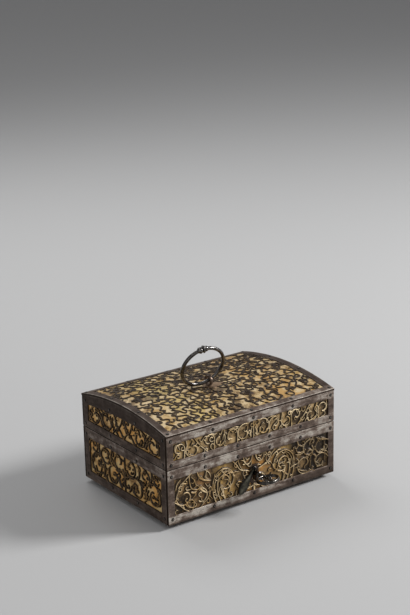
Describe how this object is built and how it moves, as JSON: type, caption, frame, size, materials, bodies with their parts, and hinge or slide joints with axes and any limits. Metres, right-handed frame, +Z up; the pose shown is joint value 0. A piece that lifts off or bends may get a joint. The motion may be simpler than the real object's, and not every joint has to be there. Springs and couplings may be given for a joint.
{
  "type": "iron-mounted strongbox",
  "caption": "Small wooden strongbox with a low vaulted lid, gilt sheets under pierced iron scrollwork, a ring handle, a front key lock with a swinging keyhole cover, and turned feet.",
  "frame": {"origin": "middle of the whole outline, on the surface that the feet stand on", "axes": "+X to the right along the box's length, +Y from the front with the keyhole to the back with the hinges, +Z up"},
  "size_m": [0.1812, 0.1674, 0.1348],
  "materials": {
    "pierced_iron": "wrought iron, filed and worn, dark brown-grey with pale rubbed edges",
    "gilt_sheet": "thin gilt sheet, satin, cream-gold to orange-gold with darker patches",
    "carcass_wood": "old oak boards, matt",
    "polished_iron": "dark iron polished by handling",
    "black_iron": "blackened wrought iron, smooth",
    "lock_iron": "filed iron, grey, lightly rusted"
  },
  "bodies": {
    "body": {"floor_board": "carcass_wood", "body_front_board": "carcass_wood", "body_back_board": "carcass_wood", "body_left_board": "carcass_wood", "body_right_board": "carcass_wood", "body_front_ground": "gilt_sheet", "body_back_ground": "gilt_sheet", "body_left_ground": "gilt_sheet", "body_right_ground": "gilt_sheet", "body_front_plate": "pierced_iron", "body_back_plate": "pierced_iron", "body_left_plate": "pierced_iron", "body_right_plate": "pierced_iron", "foot_front_left": "pierced_iron", "foot_front_right": "pierced_iron", "foot_back_left": "pierced_iron", "foot_back_right": "pierced_iron", "hinge_left_body_leaf": "pierced_iron", "hinge_left_pin": "pierced_iron", "hinge_right_body_leaf": "pierced_iron", "hinge_right_pin": "pierced_iron", "keyhole_cover_rivet": "black_iron", "lock_plate": "lock_iron", "lock_case": "lock_iron", "key_post": "lock_iron", "bolt_guide_left": "lock_iron", "bolt_guide_right": "lock_iron"},
    "lid": {"lid_front_board": "carcass_wood", "lid_back_board": "carcass_wood", "lid_left_board": "carcass_wood", "lid_right_board": "carcass_wood", "lid_top_board": "carcass_wood", "lid_front_ground": "gilt_sheet", "lid_back_ground": "gilt_sheet", "lid_left_ground": "gilt_sheet", "lid_right_ground": "gilt_sheet", "lid_top_ground": "gilt_sheet", "lid_front_plate": "pierced_iron", "lid_back_plate": "pierced_iron", "lid_left_plate": "pierced_iron", "lid_right_plate": "pierced_iron", "lid_top_plate": "pierced_iron", "hinge_left_lid_leaf": "pierced_iron", "hinge_right_lid_leaf": "pierced_iron", "ring_staple": "black_iron", "staple_rove": "black_iron", "lid_keeper": "lock_iron"},
    "ring": {"ring_handle": "polished_iron"},
    "key": {"key": "black_iron"},
    "cover": {"keyhole_cover": "black_iron"},
    "bolt": {"lock_bolt": "lock_iron"}
  },
  "joints": [
    {"name": "lid_hinge", "type": "hinge", "parent": "body", "child": "lid", "pos_m": [0, 0.07791, 0.0536], "axis": [-1, 0, 0], "range_deg": [0, 105]},
    {"name": "ring_swing", "type": "hinge", "parent": "lid", "child": "ring", "pos_m": [-0.0038, 0.00231, 0.0967], "axis": [1, 0, 0], "range_deg": [-108, 74]},
    {"name": "key_turn", "type": "hinge", "parent": "body", "child": "key", "pos_m": [0, -0.07569, 0.0283], "axis": [0, 1, 0], "range_deg": [0, 90]},
    {"name": "bolt_slide", "type": "slide", "parent": "body", "child": "bolt", "axis": [1, 0, 0], "range_m": [-0.006, 0]},
    {"name": "cover_swing", "type": "hinge", "parent": "body", "child": "cover", "pos_m": [-0.0008, -0.05789, 0.0329], "axis": [0, 1, 0], "range_deg": [0, 70]}
  ],
  "couplings": [
    {"joint": "bolt_slide", "follows": "key_turn", "m_per_rad": -0.003819}
  ]
}
